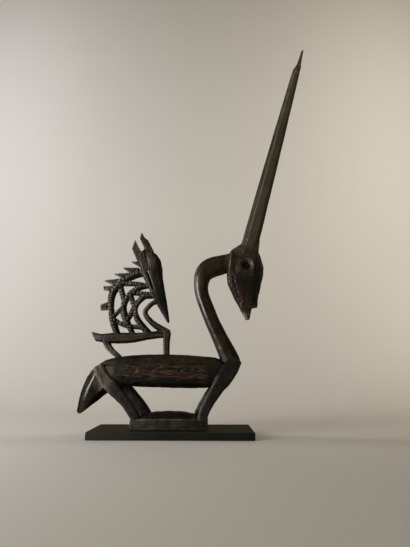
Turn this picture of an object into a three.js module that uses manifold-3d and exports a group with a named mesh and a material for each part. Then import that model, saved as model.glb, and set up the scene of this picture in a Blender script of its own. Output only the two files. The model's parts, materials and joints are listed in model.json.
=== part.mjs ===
import * as THREE from 'three';
import { mergeVertices } from 'three/addons/utils/BufferGeometryUtils.js';
import Module from 'manifold-3d';

const wasm = await Module();
wasm.setup();

// Plinth: a flat board. The origin is the centre of its underside.
const plinthLength = 306.5;
const plinthDepth = 107;
const plinthThickness = 14.4;
const plinthEdgeChamfer = 1.2;
const restGap = 0.3;

// The carving's height up to the horn tips, from a level 1.9 mm under its own underside. A
// station below is [x, z, half thickness, half breadth] in thousandths of this height over
// tipShare, from the same level.
const underside = 1.9;
const carvingHeight = 862.6;
const tipShare = 0.9877;
const share = carvingHeight / tipShare / 1000;
const bodyBreadth = 30;

// Base block that the legs stand on, carved from the same wood as the figure, and a little
// deeper than the body.
const baseLength = 147;
const baseProud = 0.8;
const baseDepth = 2 * (bodyBreadth * share + baseProud);
const baseHeight = 18.1;
const baseCrown = 13;
const baseOffset = -6;
const footInset = 9.5;
const legBreadth = 13;
const haunchRelief = 3;
const footDepth = 11;
const footSetback = 5;

// Horns: a straight pair with a slot between them.
const hornSlot = 5;
const hornBreadth = 17;
const hornTipBreadth = 10;
const hornDepth = 34.5;
const hornTipDepth = 16;
const hornLean = THREE.MathUtils.degToRad(15.65);
const groovePitch = 10.5;
const grooveDepth = 1.5;
const grooveSlant = [1, 1.5];
const rearCorner = 0.34;

// Incised work on the two heads.
const eyeRadius = 14.5;
const eyeDishDepth = 6.2;
const pupilRadius = 6;
const pupilDepth = 2.5;
const mouthGroove = 2.4;
const notchSize = 3.4;
const slotWidth = 5;
const slotDepth = 3.5;

const lerp = THREE.MathUtils.lerp;
const signedPower = (value, power) => Math.sign(value) * Math.abs(value) ** power;

// Solids

function solidFrom(geometry) {
  const bare = geometry.clone();
  bare.deleteAttribute('normal');
  bare.deleteAttribute('uv');
  const merged = mergeVertices(bare, 1e-4);
  return new wasm.Manifold(new wasm.Mesh({
    numProp: 3,
    vertProperties: new Float32Array(merged.attributes.position.array),
    triVerts: new Uint32Array(merged.index.array),
  }));
}

function geometryFrom(solid) {
  const { vertProperties, triVerts } = solid.getMesh();
  const geometry = new THREE.BufferGeometry();
  geometry.setAttribute('position', new THREE.BufferAttribute(new Float32Array(vertProperties), 3));
  geometry.setIndex(new THREE.BufferAttribute(new Uint32Array(triVerts), 1));
  geometry.computeVertexNormals();
  return geometry;
}

// Every vertex of a geometry goes where place(x, y, z) puts it.
function reshape(geometry, place) {
  const at = geometry.attributes.position;
  for (let i = 0; i < at.count; i += 1) {
    const { x, y, z } = place(at.getX(i), at.getY(i), at.getZ(i));
    at.setXYZ(i, x, y, z);
  }
  return geometry;
}

// A limb: a section carried along a smooth path in the figure's middle plane.
// corner below 1 squares the section, and spread gives its distance from the middle
// plane at the first and the last station.
function limb(stations, { sides = 8, steps = 10, corner = 0.6, spread = [0, 0] } = {}) {
  const centres = stations.map(([x, z]) => new THREE.Vector3(x * share, 0, z * share));
  const sizes = stations.map(([, , thick, broad]) => new THREE.Vector3(thick * share, broad * share, 0));
  const path = new THREE.CatmullRomCurve3(centres, false, 'catmullrom', 0.5);
  const girth = new THREE.CatmullRomCurve3(sizes, false, 'catmullrom', 0.5);
  const blank = new THREE.CylinderGeometry(1, 1, 1, sides, steps, false, Math.PI / sides);
  return solidFrom(reshape(blank, (x, y, z) => {
    const along = THREE.MathUtils.clamp(y + 0.5, 0, 1);
    const centre = path.getPoint(along);
    const ahead = path.getTangent(along);
    const size = girth.getPoint(along);
    const out = signedPower(x, corner) * size.x;
    return {
      x: centre.x - ahead.z * out,
      y: signedPower(z, corner) * size.y + lerp(spread[0], spread[1], along),
      z: centre.z + ahead.x * out,
    };
  }));
}

// A strand: a limb with one thickness and breadth all along.
function strand(points, thick, broad, options) {
  return limb(points.map(([x, z]) => [x, z, thick, broad]), { sides: 4, steps: points.length, ...options });
}

// A flat plate of the outline given in the middle plane, with its edges left sharp.
function plate(outline, halfBreadth) {
  const shape = new THREE.Shape(outline.map(([x, z]) => new THREE.Vector2(x * share, z * share)));
  const half = halfBreadth * share;
  const geometry = new THREE.ExtrudeGeometry(shape, { depth: 2 * half, bevelEnabled: false });
  geometry.rotateX(Math.PI / 2);
  geometry.translate(0, half, 0);
  return solidFrom(geometry);
}

// A form given by level slices [z, rear x, front x, half breadth], from the top down.
// profile is the half outline of one slice: [share of the way from rear to front, share of the breadth].
function sliced(slices, profile) {
  const sides = 2 * profile.length;
  const blank = new THREE.CylinderGeometry(1, 1, slices.length - 1, sides, slices.length - 1);
  return solidFrom(reshape(blank, (x, y, z) => {
    const [level, rear, front, breadth] = slices[Math.round((slices.length - 1) / 2 - y)];
    if (Math.hypot(x, z) < 0.5) {
      return { x: lerp(rear, front, 0.5) * share, y: 0, z: level * share };
    }
    const turn = THREE.MathUtils.euclideanModulo(Math.atan2(x, z), 2 * Math.PI);
    const corner = Math.round((turn / (2 * Math.PI)) * sides) % sides;
    const far = corner >= profile.length;
    const [reach, half] = profile[far ? sides - 1 - corner : corner];
    return {
      x: lerp(rear, front, reach) * share,
      y: (far ? 1 : -1) * half * breadth * share,
      z: level * share,
    };
  }));
}

// A block cutter or filler: sizes in millimetres, centre in the middle plane's x and z.
function block(sizeX, sizeY, sizeZ, centre, turn = 0) {
  const geometry = new THREE.BoxGeometry(sizeX, sizeY, sizeZ);
  geometry.rotateY(turn);
  geometry.translate(centre.x, centre.y, centre.z);
  return solidFrom(geometry);
}

// A cutter for a V notch of the given depth, centred on a side face: it runs along x, turned by tilt.
function notch(depth, length, centre, tilt) {
  const geometry = new THREE.BoxGeometry(length, depth * Math.SQRT2, depth * Math.SQRT2);
  geometry.rotateX(Math.PI / 4);
  geometry.rotateY(-tilt);
  geometry.translate(centre.x, centre.y, centre.z);
  return solidFrom(geometry);
}

const joined = (solids) => solids.reduce((whole, next) => whole.add(next));
const cutFrom = (whole, cutters) => cutters.reduce((rest, cutter) => rest.subtract(cutter), whole);

// Base block: a rough block with a humped top, narrower at its two ends.
function baseBlock() {
  const blank = new THREE.BoxGeometry(baseLength, baseDepth, baseHeight, 6, 4, 1);
  const endTaper = 0.2;
  return solidFrom(reshape(blank, (x, y, z) => {
    const end = Math.abs(x / (baseLength / 2));
    const side = Math.abs(y / (baseDepth / 2));
    const crown = z > 0 ? baseCrown * (1 - side ** 2) * (1 - end ** 2.5) : 0;
    const droop = z > 0 ? -2 * end ** 4 : 0;
    return {
      x: x + baseOffset,
      y: y * (1 - endTaper * end ** 3),
      z: z + underside + baseHeight / 2 + crown + droop,
    };
  }));
}

// Legs: each runs from the body down to its foot on the base block. The far hind leg stands
// a step forward of the near one, and the far front leg a step back.
function legs() {
  const farHindStep = 15.3;
  const hindLag = 0.85;
  const hindInset = footInset + 1.5;
  const farFrontStep = -8;
  const halfLeg = legBreadth / 2;
  const haunchY = bodyBreadth * share + haunchRelief - halfLeg;
  const footY = baseDepth / 2 - halfLeg - footSetback;
  const broad = halfLeg / share;
  const baseTop = (underside + baseHeight) / share;
  const footEnd = baseTop - footDepth / share;
  return [-1, 1].flatMap((side) => {
    const far = side > 0;
    const hindFoot = baseOffset - baseLength / 2 + hindInset + (far ? farHindStep : 0);
    const frontFoot = baseOffset + baseLength / 2 - footInset + (far ? farFrontStep : 0);
    const stout = far ? 3.5 : 0;
    const lag = far ? (hindLag * farHindStep) / share : 0;
    const lead = far ? farFrontStep / share : 0;
    const hind = [
      [-167, 136, 10.5, broad],
      [-156, 114, 12, broad],
      [-131 + 0.75 * lag, 87, 14.4 + stout, broad],
      [-107 + lag, 63, 10.6 + stout, broad],
      [(far ? -87 : -89.5) + lag, 41, 10.4 + stout, broad],
      [hindFoot / share, baseTop - 2, 10.2 + stout, broad],
      [hindFoot / share, footEnd, 10.2 + stout, broad],
    ];
    const front = [
      [141, 151, 15, broad],
      [120.5, 117, 18.5, broad],
      [98 + 0.25 * lead, 87, 14.2, broad],
      [83 + 0.5 * lead, 63, 12.3, broad],
      [72 + 0.75 * lead, 44, 11.2, broad],
      [frontFoot / share, baseTop + 3, 11.2, broad],
      [frontFoot / share, footEnd, 11.2, broad],
    ];
    const spread = [side * haunchY, side * footY];
    return [hind, front].map((stations) => limb(stations, { steps: 9, corner: 0.5, spread }));
  });
}

// Body, tail, neck
const body = () => limb([
  [-170, 118, 14, 18],
  [-157, 122, 24, 26],
  [-126, 124, 31.5, bodyBreadth],
  [-69, 125, 36, bodyBreadth],
  [0, 124.5, 37, bodyBreadth],
  [69, 122, 35.5, bodyBreadth],
  [108, 125, 29, 27],
  [132, 137, 12, 18],
], { sides: 12, steps: 11, corner: 0.85 });

const tail = () => limb([
  [-155, 121, 26, 23],
  [-169, 99, 30.5, 20],
  [-185, 77, 24, 16],
  [-196, 59, 16.5, 12],
  [-204, 44, 9.5, 8],
  [-211, 33, 3.4, 4.6],
], { sides: 6, steps: 8, corner: 0.9 });

const neck = () => limb([
  [134, 136, 21, 24],
  [126.4, 157, 20.9, 21],
  [108.9, 195, 17.5, 17.5],
  [92, 229, 15.9, 16],
  [77.6, 265, 15.6, 16],
  [64.3, 301, 15.1, 16],
  [61.8, 326, 16, 16.5],
  [66, 349, 20.4, 17.5],
  [77, 362.6, 23.2, 18.5],
  [93, 371, 24.3, 19],
  [112, 376, 23.6, 19.5],
  [140, 383, 22.5, 19.5],
], { sides: 10, steps: 18, corner: 0.8 });

// Head: a wedge that hangs down to the muzzle, with flat cheeks and a narrow front.
const cheekProfile = [[0, 0.4], [0.04, 0.92], [0.3, 1], [0.7, 0.9], [0.92, 0.5], [1, 0.2]];
const head = () => sliced([
  [439, 166, 206, 17],
  [424.5, 158.5, 204, 21],
  [408, 133.5, 201.5, 24],
  [394, 129, 206, 25.2],
  [369, 126.4, 212, 25.8],
  [348, 124, 211, 24.6],
  [329, 126, 206, 22.3],
  [306, 136, 200, 19.5],
  [288, 144, 196, 16.6],
  [271.5, 153.2, 194.5, 14.1],
  [269, 154.4, 181, 13.4],
  [258, 160, 179, 10.3],
  [242.5, 168, 176, 6.9],
], cheekProfile);

// Eyes: round dishes with a deeper pupil, one on each cheek.
const eyePlace = { x: 172 * share, z: 370 * share };
function eyeCutters() {
  const cheekY = 24.6 * share;
  const outline = [
    [0, -eyeDishDepth - pupilDepth],
    [pupilRadius * 0.8, -eyeDishDepth - pupilDepth],
    [pupilRadius, -eyeDishDepth],
    [eyeRadius, 0.8],
    [eyeRadius, 6],
    [0, 6],
  ].map(([r, h]) => new THREE.Vector2(r, h));
  return [-1, 1].map((side) => {
    const geometry = new THREE.LatheGeometry(outline, 16);
    geometry.rotateX(side > 0 ? 0 : Math.PI);
    geometry.translate(eyePlace.x, side * cheekY, eyePlace.z);
    return solidFrom(geometry);
  });
}

// A row of notches down the rear edge of each cheek.
function cheekNotches() {
  const edge = new THREE.CatmullRomCurve3([[131, 366], [128, 350], [131, 330], [140, 308], [150, 288]]
    .map(([x, z]) => new THREE.Vector3((x + 4) * share, 0, z * share)));
  const count = Math.floor(edge.getLength() / (2 * notchSize));
  const cutters = [];
  for (let i = 0; i <= count; i += 1) {
    const { x, z } = edge.getPointAt(i / count);
    for (const side of [-1, 1]) {
      const y = side * lerp(25, 17, i / count) * share;
      cutters.push(notch(notchSize / 2, 3 * notchSize, new THREE.Vector3(x, y, z), -0.4));
    }
  }
  return cutters;
}

// Mouth: a groove on each side above the step in the muzzle.
const mouthCutters = () => [-1, 1].map((side) => block(
  15 * share,
  mouthGroove * 2,
  mouthGroove,
  { x: 188 * share, y: side * 11.5 * share, z: 275.5 * share },
));

// Horns: the outer side of each is cut with slanting grooves, and the rear and front edges
// are left plain. The last stretch is a smooth thinner spike.
const hornFoot = { x: 176.6 * share, z: 412 * share };
const hornReach = 936 * share;

// A point of a horn: reach along it, across it towards the front, and y.
function hornPoint(reach, across, y) {
  return new THREE.Vector3(
    hornFoot.x + Math.sin(hornLean) * reach + Math.cos(hornLean) * across,
    y,
    hornFoot.z + Math.cos(hornLean) * reach - Math.sin(hornLean) * across,
  );
}

// Each horn has six sides: a rear and a front ridge, and two flat sides. A flat side starts
// at the share rearCorner of the way from the middle line to the rear ridge. Rows of points
// slant across it, and every other row of the outer side is sunk to make a groove.
function horn(side) {
  const length = (hornReach - hornFoot.z) / Math.cos(hornLean);
  const grooves = Math.round(length / groovePitch);
  const middleY = side * (hornSlot + hornBreadth) / 2;
  const blank = new THREE.CylinderGeometry(1, 1, 1, 6, 2 * grooves, false, Math.PI / 2);
  return solidFrom(reshape(blank, (x, y, z) => {
    const along = THREE.MathUtils.clamp(y + 0.5, 0, 1);
    const inward = x > 0.1 && x < 0.9 ? rearCorner : x;
    const across = -inward * lerp(hornDepth, hornTipDepth, along ** 1.25) / 2;
    const breadth = lerp(hornBreadth, hornTipBreadth, along) / 2;
    const slant = lerp(...grooveSlant, Math.min(1, 2 * along));
    const sunk = z * side > 0.5 && Math.round(along * 2 * grooves) % 2 === 1;
    const sideways = Math.sign(Math.round(z * 2)) * breadth - (sunk ? side * grooveDepth : 0);
    return hornPoint(along * length + across * slant, across, middleY + sideways);
  }));
}

function spike(side) {
  const start = 912 * share;
  const length = (carvingHeight - start) / Math.cos(hornLean);
  const middleY = side * (hornSlot + hornBreadth) / 2;
  const blank = new THREE.CylinderGeometry(1, 1, 1, 8, 3);
  return solidFrom(reshape(blank, (x, y, z) => {
    const along = THREE.MathUtils.clamp(y + 0.5, 0, 1);
    const radius = lerp(5.6, 1.4, along);
    const reach = (start - hornFoot.z) / Math.cos(hornLean) + along * length;
    return hornPoint(reach, lerp(2.2, 0.8, along) - x * radius, middleY + z * radius * 0.85);
  }));
}

// The little antelope on the large one's back

const fawnBody = () => limb([
  [-184, 202, 8, 6],
  [-165, 198, 9.8, 11],
  [-142, 198.7, 12.6, 12],
  [-115, 198.7, 12.2, 12],
  [-90, 200, 10.6, 11.5],
  [-53, 205, 7.8, 11],
  [-25, 209, 9.4, 10.5],
  [-10, 210, 8, 9],
], { steps: 9, corner: 0.7 });

const fawnTailTip = () => plate([[-193, 212], [-168, 207], [-166, 192], [-181, 191], [-187, 200]], 5);

function fawnLegs() {
  const spread = 7;
  const hind = [
    [-156, 201, 6.9, 4.2],
    [-157, 187, 7.8, 4.2],
    [-147.8, 173, 5.7, 4.2],
    [-134.2, 162, 5, 4.2],
    [-120, 148, 4.6, 4.2],
  ];
  const fore = [
    [-17, 209, 8, 4.2],
    [-18, 195, 7.2, 4.2],
    [-18, 177, 6.3, 4.2],
    [-17, 152, 6, 4.2],
  ];
  return [-1, 1].flatMap((side) => {
    const options = { sides: 6, steps: 5, spread: [side * spread * share, side * spread * share] };
    return [limb(hind, options), limb(fore, options)];
  });
}

// Mane: three arcs from the back to the head, crossed by short zigzag strands.
const outerArc = () => limb([
  [-70, 357.2, 10, 11],
  [-95.2, 351.9, 10.2, 11],
  [-126.8, 334.8, 9.6, 11],
  [-149.8, 307, 9.6, 11],
  [-152, 272, 6.9, 11],
  [-146, 241, 8.2, 11],
  [-132.4, 203, 7.6, 11],
], { sides: 6, steps: 16 });

const middleArc = () => limb([
  [-60, 324.5, 6.9, 11],
  [-85.6, 319.4, 7.6, 11],
  [-111.6, 298.6, 7.7, 11],
  [-122.8, 272, 7.8, 11],
  [-115.7, 243, 8.5, 11],
  [-93.4, 202, 4.6, 11],
], { sides: 6, steps: 12 });

const innerArc = () => limb([
  [-52, 300, 8, 11],
  [-75.4, 297, 8, 11],
  [-93.5, 272, 5.6, 11],
  [-88.6, 243, 7, 11],
  [-56, 205, 7.4, 11],
], { sides: 6, steps: 11 });

const fawnNeck = () => limb([
  [-38, 287.6, 6.4, 9.6],
  [-57.4, 277.8, 5.4, 9.6],
  [-70.6, 258, 5.6, 10],
  [-53.2, 234.4, 6.4, 10],
  [-17, 211, 8.6, 10],
], { sides: 6, steps: 11 });

// Each strand is its half thickness and its points.
const maneStrands = () => [
  [6.6, [[-130, 328.4], [-110, 328.4], [-93, 327.4], [-67, 322.4]]],
  [7.4, [[-132, 333], [-130.3, 313], [-118.3, 280]]],
  [4.8, [[-119, 277], [-134, 261], [-147, 245]]],
  [6, [[-146, 243.4], [-129, 233.4], [-108, 225.4], [-86, 225.4], [-66, 218.4]]],
  [6, [[-103, 305.2], [-80, 304], [-55, 302]]],
  [7, [[-108.4, 305], [-103.4, 289], [-94.4, 270]]],
  [6.9, [[-95, 281], [-102, 260], [-117, 230]]],
].map(([thick, points]) => strand(points, thick, 8.4));

const maneTeeth = () => [
  [[-108, 382.5], [-86, 383], [-80, 366]],
  [[-127.5, 367], [-88, 367], [-106, 352]],
  [[-148, 352], [-112, 354], [-124, 340]],
  [[-171.5, 335], [-128, 341], [-145, 324]],
].map(([tip, top, bottom]) => plate([tip, bottom, top], 5));

function brokenTeeth() {
  const upper = plate([[-172, 321], [-171, 313], [-152, 311], [-148, 323]], 5);
  const lower = plate([[-176, 276], [-175, 264], [-152, 266], [-152, 284], [-160, 283]], 5);
  const hole = new THREE.CylinderGeometry(1.7, 1.7, 14 * share, 6);
  hole.translate(-165 * share, 0, 318 * share);
  return [upper.subtract(solidFrom(hole)), lower];
}

// Head of the little antelope, with its two broken horns.
const fawnProfile = [[0, 0.45], [0.1, 0.95], [0.45, 1], [0.8, 0.75], [1, 0.3]];
const fawnHead = () => sliced([
  [411, -80, -62, 9],
  [401, -94, -48, 11],
  [386, -93, -38, 12.3],
  [364, -84, -33, 12.6],
  [345, -78, -32, 12.4],
  [318, -64, -27, 11],
  [286, -48, -20.5, 9],
  [256, -30, -15.5, 6.8],
  [235, -17, -12.5, 4.6],
], fawnProfile);

const brokenHorns = () => [
  plate([
    [-101.5, 437], [-108, 415], [-102, 401], [-94, 385],
    [-70, 388], [-80, 406], [-88, 411], [-94, 422],
  ], 6),
  plate([
    [-86, 456.5], [-89, 440], [-84, 429], [-77, 417], [-82, 404],
    [-60, 398], [-56, 411], [-64, 426], [-70, 437], [-78, 443],
  ], 7),
];

// A long slot is cut down each side of the little head.
function fawnSlots() {
  const top = new THREE.Vector3(-68 * share, 0, 356 * share);
  const foot = new THREE.Vector3(-52 * share, 0, 312 * share);
  const middle = top.clone().lerp(foot, 0.5);
  const length = top.distanceTo(foot);
  const turn = Math.atan2(top.x - foot.x, top.z - foot.z);
  const deep = 30 * share;
  return [-1, 1].map((side) => {
    const y = side * (10.8 * share - slotDepth + deep / 2);
    return block(slotWidth, deep, length, { x: middle.x, y, z: middle.z }, turn);
  });
}

function fawn() {
  const skull = cutFrom(fawnHead(), fawnSlots());
  return joined([
    fawnBody(),
    fawnTailTip(),
    ...fawnLegs(),
    outerArc(),
    middleArc(),
    innerArc(),
    fawnNeck(),
    ...maneStrands(),
    ...maneTeeth(),
    ...brokenTeeth(),
    skull,
    ...brokenHorns(),
  ]);
}

function headdress() {
  const skull = cutFrom(head(), [...eyeCutters(), ...cheekNotches(), ...mouthCutters()]);
  const horns = [-1, 1].flatMap((side) => [horn(side), spike(side)]);
  return joined([baseBlock(), ...legs(), body(), tail(), neck(), skull, ...horns, fawn()]);
}

function plinthBoard() {
  const inner = new THREE.Shape();
  const halfLength = plinthLength / 2 - plinthEdgeChamfer;
  const halfDepth = plinthDepth / 2 - plinthEdgeChamfer;
  inner.moveTo(-halfLength, -halfDepth);
  inner.lineTo(halfLength, -halfDepth);
  inner.lineTo(halfLength, halfDepth);
  inner.lineTo(-halfLength, halfDepth);
  inner.closePath();
  const geometry = new THREE.ExtrudeGeometry(inner, {
    depth: plinthThickness - 2 * plinthEdgeChamfer,
    bevelThickness: plinthEdgeChamfer,
    bevelSize: plinthEdgeChamfer,
    bevelSegments: 1,
  });
  geometry.translate(0, 0, plinthEdgeChamfer);
  return solidFrom(geometry);
}

const patinatedWood = new THREE.MeshStandardMaterial({ color: 0x54463a, roughness: 0.62, metalness: 0 });
const stainedBoard = new THREE.MeshStandardMaterial({ color: 0x3c3d31, roughness: 0.78, metalness: 0 });

const plinth = new THREE.Mesh(geometryFrom(plinthBoard()), stainedBoard);
plinth.name = 'plinth';

const carving = new THREE.Mesh(geometryFrom(headdress()), patinatedWood);
carving.name = 'headdress';
carving.position.z = plinthThickness + restGap - underside;

const group = new THREE.Group();
group.add(plinth, carving);

export default group;
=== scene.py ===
import json
import math

import bpy
import numpy as np
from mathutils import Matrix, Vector

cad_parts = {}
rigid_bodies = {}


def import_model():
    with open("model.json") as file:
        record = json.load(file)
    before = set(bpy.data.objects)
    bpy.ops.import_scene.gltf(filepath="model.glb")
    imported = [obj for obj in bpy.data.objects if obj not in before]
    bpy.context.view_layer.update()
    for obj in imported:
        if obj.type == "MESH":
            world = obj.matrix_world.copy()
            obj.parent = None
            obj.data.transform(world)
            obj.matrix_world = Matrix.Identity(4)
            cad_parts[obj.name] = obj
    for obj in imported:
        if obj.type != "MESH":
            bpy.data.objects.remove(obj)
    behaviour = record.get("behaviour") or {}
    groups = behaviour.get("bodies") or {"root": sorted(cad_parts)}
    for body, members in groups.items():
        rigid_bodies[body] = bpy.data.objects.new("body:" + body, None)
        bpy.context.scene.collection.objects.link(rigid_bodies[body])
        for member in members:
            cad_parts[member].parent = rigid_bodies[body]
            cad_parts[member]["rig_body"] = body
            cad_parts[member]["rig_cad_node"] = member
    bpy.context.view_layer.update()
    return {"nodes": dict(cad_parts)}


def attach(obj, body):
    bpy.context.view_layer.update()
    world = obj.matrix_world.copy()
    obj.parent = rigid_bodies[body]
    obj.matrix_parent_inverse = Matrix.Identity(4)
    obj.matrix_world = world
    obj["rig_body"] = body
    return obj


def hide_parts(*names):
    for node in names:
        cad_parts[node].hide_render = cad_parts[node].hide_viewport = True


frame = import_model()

mm = 0.001


def selectOnly(obj):
    bpy.ops.object.select_all(action="DESELECT")
    obj.select_set(True)
    bpy.context.view_layer.objects.active = obj


def applyModifier(obj, kind, **settings):
    selectOnly(obj)
    bpy.ops.object.modifier_add(type=kind)
    modifier = obj.modifiers[-1]
    for name, value in settings.items():
        setattr(modifier, name, value)
    bpy.ops.object.modifier_apply(modifier=modifier.name)


def hexColour(code):
    # sRGB hex to the linear values that the shader works in
    parts = [int(code[i:i + 2], 16) / 255 for i in (1, 3, 5)]
    return [c / 12.92 if c <= 0.04045 else ((c + 0.055) / 1.055) ** 2.4 for c in parts] + [1.0]


def addNode(tree, kind, links=None, out=0, **settings):
    # links gives an input, by name or number, another node's output or a plain value
    node = tree.nodes.new(kind)
    for name, value in settings.items():
        setattr(node, name, value)
    for place, value in (links or {}).items():
        if isinstance(value, bpy.types.NodeSocket):
            tree.links.new(value, node.inputs[place])
        else:
            node.inputs[place].default_value = value
    return node.outputs[out]


# Camera at the photograph's viewing angle: a phone held low, tipped up a little
cameraView = {
    "place": (0.0636, -0.8129, 0.1243),
    "turn": (103.673, -0.125, 0.084),    # degrees
    "lens": 26,                  # on a sensor 36 mm wide
    "sensor": 36,
    "near": 0.01,
}


def addCamera():
    c = cameraView
    bpy.ops.object.camera_add(location=c["place"], rotation=[math.radians(a) for a in c["turn"]])
    camera = bpy.context.active_object
    camera.data.sensor_width = c["sensor"]
    camera.data.lens = c["lens"]
    camera.data.clip_start = c["near"]
    bpy.context.scene.camera = camera


# Studio: a pale floor that sweeps up into a wall, a tall narrow window's light on the left, and
# two lamps that light only the wall and aren't seen themselves
studio = {
    "floorReach": 3.5,
    "wallPlace": 1.4,
    "wallHeight": 3.2,
    "sweepRadius": 1.0,
    "sweepSteps": 24,
    "paper": "#dad5cc",
    "paperRoughness": 0.9,
    "paperSheen": 0.2,
    "keyPlace": (-1.0, -0.57, 0.28),
    "keySize": (0.3, 0.58),
    "keyPower": 12,
    "keyColour": "#f6f9ff",      # daylight, a little cooler than the room's own light
    "keyAim": (0, 0, 0.35),
    "washPlace": (1.6, 0.3, 1.5),
    "washSize": (0.3, 2.2),
    "washAim": (0.4, 1.4, 1.6),
    "washPower": (19, 15.5),     # on the left and on the right
    "washColours": ("#f1f5ff", "#fffaf2"),
    "skyColour": "#dfd0ac",
    "skyStrength": 0.2,
}


def addLamp(name, place, size, power, colour, aim):
    bpy.ops.object.light_add(type="AREA", location=place)
    lamp = bpy.context.active_object
    lamp.name = name
    lamp.data.shape = "RECTANGLE"
    lamp.data.size, lamp.data.size_y = size
    lamp.data.energy = power
    lamp.data.color = hexColour(colour)[:3]
    lamp.rotation_mode = "QUATERNION"
    lamp.rotation_quaternion = (Vector(aim) - lamp.location).to_track_quat("-Z", "Y")
    return lamp


def addStudio():
    s = studio
    bpy.ops.mesh.primitive_plane_add(size=1)
    floor = bpy.context.active_object
    floor.name = "floor"
    bpy.ops.object.mode_set(mode="EDIT")
    depth = s["floorReach"] + s["wallPlace"]
    bpy.ops.transform.resize(value=(2 * s["floorReach"], depth, 1))
    bpy.ops.transform.translate(value=(0, s["wallPlace"] - depth / 2, 0))
    bpy.ops.mesh.select_all(action="DESELECT")
    bpy.ops.object.mode_set(mode="OBJECT")
    slack = 0.01
    rear = s["wallPlace"] - slack
    for edge in floor.data.edges:
        edge.select = all(floor.data.vertices[v].co.y > rear for v in edge.vertices)
    bpy.ops.object.mode_set(mode="EDIT")
    bpy.ops.mesh.select_mode(type="EDGE")
    bpy.ops.mesh.extrude_region_move(TRANSFORM_OT_translate={"value": (0, 0, s["wallHeight"])})
    bpy.ops.object.mode_set(mode="OBJECT")
    for edge in floor.data.edges:
        ends = [floor.data.vertices[v].co for v in edge.vertices]
        edge.select = all(end.y > rear and end.z < slack for end in ends)
    bpy.ops.object.mode_set(mode="EDIT")
    bpy.ops.mesh.bevel(offset=s["sweepRadius"], segments=s["sweepSteps"], profile=0.5)
    bpy.ops.object.mode_set(mode="OBJECT")
    bpy.ops.object.shade_smooth()

    # painted paper: pale warm grey, quite matt
    paper = bpy.data.materials.new("studioPaper")
    paper.use_nodes = True
    shader = paper.node_tree.nodes["Principled BSDF"]
    shader.inputs["Base Color"].default_value = hexColour(s["paper"])
    shader.inputs["Roughness"].default_value = s["paperRoughness"]
    shader.inputs["Specular IOR Level"].default_value = s["paperSheen"]
    floor.data.materials.append(paper)
    # the gloss mirrors the dark room behind the camera, not this floor
    floor.visible_glossy = False

    addLamp("keyLight", s["keyPlace"], s["keySize"], s["keyPower"], s["keyColour"], s["keyAim"])
    washed = bpy.data.collections.new("washed")
    washed.objects.link(floor)
    for side, power, colour in zip((-1, 1), s["washPower"], s["washColours"]):
        x, y, z = s["washPlace"]
        aimX, aimY, aimZ = s["washAim"]
        aim = (side * aimX, aimY, aimZ)
        lamp = addLamp("wallLight", (side * x, y, z), s["washSize"], power, colour, aim)
        lamp.visible_camera = False
        lamp.light_linking.receiver_collection = washed

    world = bpy.data.worlds.new("studioSky")
    bpy.context.scene.world = world
    world.use_nodes = True
    sky = world.node_tree.nodes["Background"]
    sky.inputs["Color"].default_value = hexColour(s["skyColour"])
    sky.inputs["Strength"].default_value = s["skyStrength"]
    bpy.context.scene.view_settings.view_transform = "Standard"     # a phone's deep blacks


# Horns: a straight tapering pair, each with a flat outer side between a rear and a front chamfer
hornPair = {
    "foot": (154.2, 372.6),      # x and z where the middle line leaves the head, mm
    "lean": 15.65,               # degrees forward
    "length": 475,
    "root": 14,                  # how far each runs down into the head
    "slot": 5,                   # the gap between the two
    "breadth": (17, 10),         # at the foot and at the top
    "depth": (34.5, 16),
    "taper": 1.25,
    "chamfers": (11, 8.5, 4),    # rear and front of the outer side, and the two inner edges
    "steps": 8,
    "topSlants": (11, 4),        # the top's rear edge goes down by this and its front edge up
    "topLevel": 3,               # and what lies within this of its middle stays level
    "spike": (453, 522.5),       # where the thin end spike starts and stops
    "spikeRadius": (6.3, 1.7),
    "spikeShift": 1.8,           # forward of the middle line
    "spikeSides": 16,
    "stubLevel": 412,            # the CAD solid's own horns are cut off above this
}


def selectPlaces(obj, test):
    # picks the vertices that the test takes, and leaves the object in edit mode
    bpy.ops.object.mode_set(mode="EDIT")
    bpy.ops.mesh.select_mode(type="VERT")
    bpy.ops.mesh.select_all(action="DESELECT")
    bpy.ops.object.mode_set(mode="OBJECT")
    for vertex in obj.data.vertices:
        vertex.select = test(vertex.co / mm)
    bpy.ops.object.mode_set(mode="EDIT")


def between(pair, way):
    return pair[0] + (pair[1] - pair[0]) * way


def hornSize(way):
    # depth and breadth at a share of the way up
    return between(hornPair["depth"], way ** hornPair["taper"]), between(hornPair["breadth"], way)


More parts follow.
